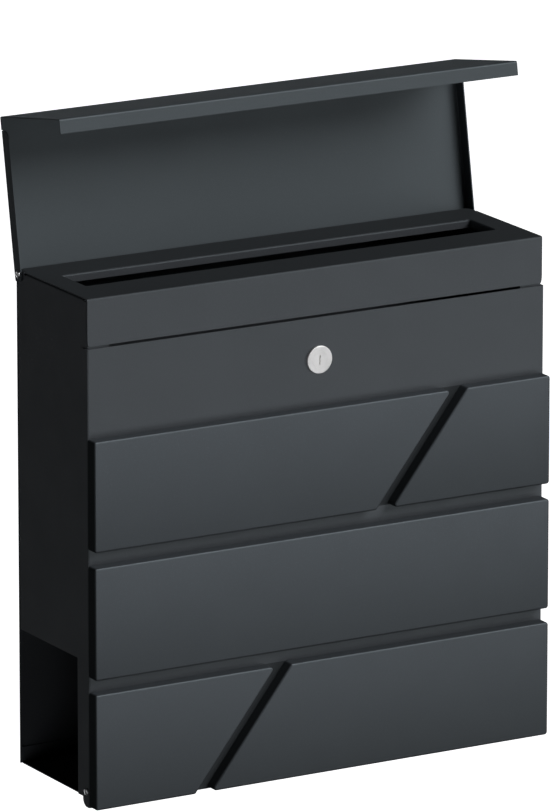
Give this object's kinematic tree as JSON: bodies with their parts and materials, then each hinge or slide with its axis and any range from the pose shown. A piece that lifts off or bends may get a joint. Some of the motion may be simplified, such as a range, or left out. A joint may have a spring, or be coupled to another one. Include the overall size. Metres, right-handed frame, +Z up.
{
  "type": "wall mounted mailbox",
  "caption": "Folded sheet steel mailbox with a hinged lid over a mail slot, a locking front door with raised panels, and an open newspaper compartment below.",
  "frame": {"origin": "centre of the four wall screw holes, on the flat back face that lies against the wall", "axes": "+X to the right as seen from the front, +Y into the wall (the door faces -Y), +Z up"},
  "size_m": [0.371, 0.1329, 0.4833],
  "materials": {
    "powder_coat_body": "matt anthracite grey powder coat with a very fine orange peel",
    "powder_coat_lid": "matt anthracite grey powder coat with a very fine orange peel",
    "powder_coat_door": "matt anthracite grey powder coat with a very fine orange peel",
    "powder_coat_panel": "matt anthracite grey powder coat with a very fine orange peel",
    "rivet_aluminium": "bare aluminium, satin",
    "lock_chrome": "satin chrome plate",
    "lock_steel": "fine turned steel face",
    "zinc_steel": "bright zinc plated steel"
  },
  "bodies": {
    "body": {"back_panel": "powder_coat_body", "side_panel_left": "powder_coat_body", "side_panel_right": "powder_coat_body", "top_cover": "powder_coat_body", "compartment_floor": "powder_coat_body", "bottom_panel": "powder_coat_body", "lock_strike": "zinc_steel", "lid_rivet_left": "rivet_aluminium", "lid_rivet_right": "rivet_aluminium", "door_rivet_left": "rivet_aluminium", "door_rivet_right": "rivet_aluminium"},
    "lid": {"lid": "powder_coat_lid"},
    "door": {"door_tray": "powder_coat_door", "door_panel_top_left": "powder_coat_panel", "door_panel_top_right": "powder_coat_panel", "door_panel_middle": "powder_coat_panel", "door_panel_bottom_left": "powder_coat_panel", "door_panel_bottom_right": "powder_coat_panel", "lock_housing": "lock_chrome", "lock_washer": "zinc_steel", "lock_nut": "zinc_steel"},
    "lock_core": {"lock_plug": "lock_steel", "lock_stop_washer": "zinc_steel", "lock_cam": "zinc_steel", "lock_screw_washer": "zinc_steel", "lock_cam_screw": "zinc_steel"}
  },
  "joints": [
    {"name": "lid_hinge", "type": "hinge", "parent": "body", "child": "lid", "pos_m": [0, -0.005, 0.1353], "axis": [1, 0, 0], "range_deg": [0, 100.3]},
    {"name": "door_hinge", "type": "hinge", "parent": "body", "child": "door", "pos_m": [0, -0.0992, -0.2148], "axis": [1, 0, 0], "range_deg": [0, 67]},
    {"name": "lock_turn", "type": "hinge", "parent": "door", "child": "lock_core", "pos_m": [0, -0.1028, 0.0725], "axis": [0, 1, 0], "range_deg": [0, 90]}
  ]
}
